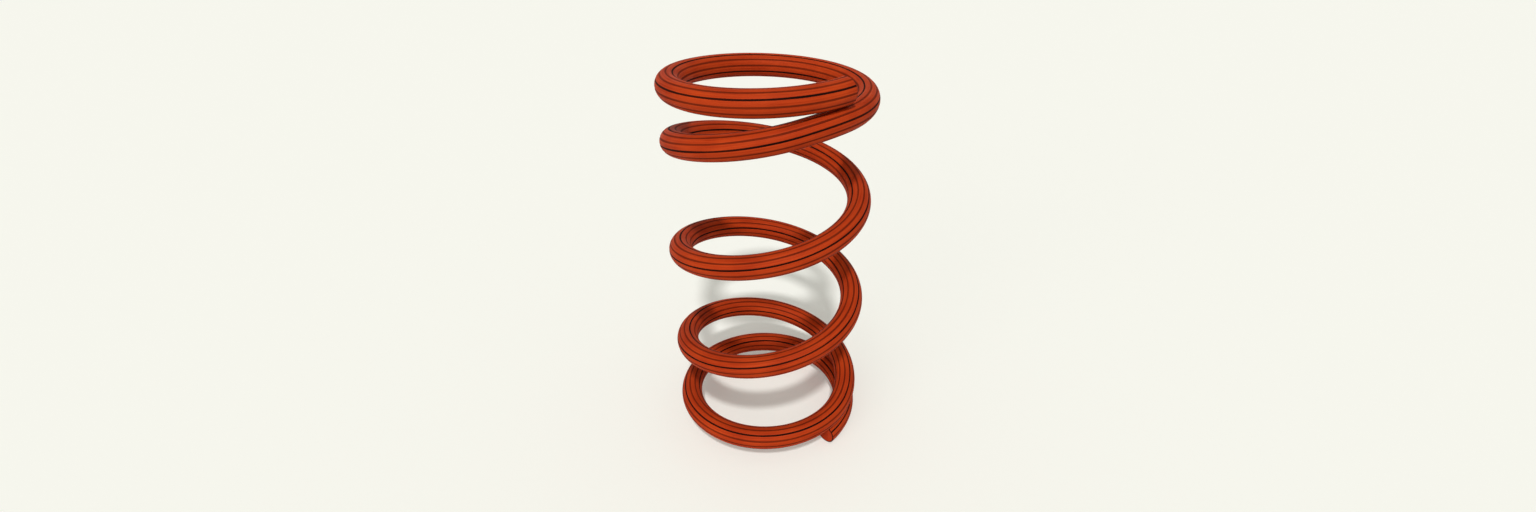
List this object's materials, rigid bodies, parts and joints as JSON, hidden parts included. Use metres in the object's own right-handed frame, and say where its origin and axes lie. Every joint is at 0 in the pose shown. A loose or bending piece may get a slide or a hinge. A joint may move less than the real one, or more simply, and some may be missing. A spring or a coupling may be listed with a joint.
{
  "type": "micro coil spring",
  "caption": "Small helical compression spring of round wire, with open springing turns between closed, unground ends that are cut square.",
  "frame": {"origin": "on the coil's axis, level with the underside of the lower wire end", "axes": "+Z along the coil's axis, from the lower end to the upper end; +X through both wire ends"},
  "size_m": [0.0036, 0.0036, 0.007],
  "materials": {
    "spring_wire": "satin"
  },
  "bodies": {
    "root": {"coil_spring": "spring_wire"}
  },
  "joints": []
}
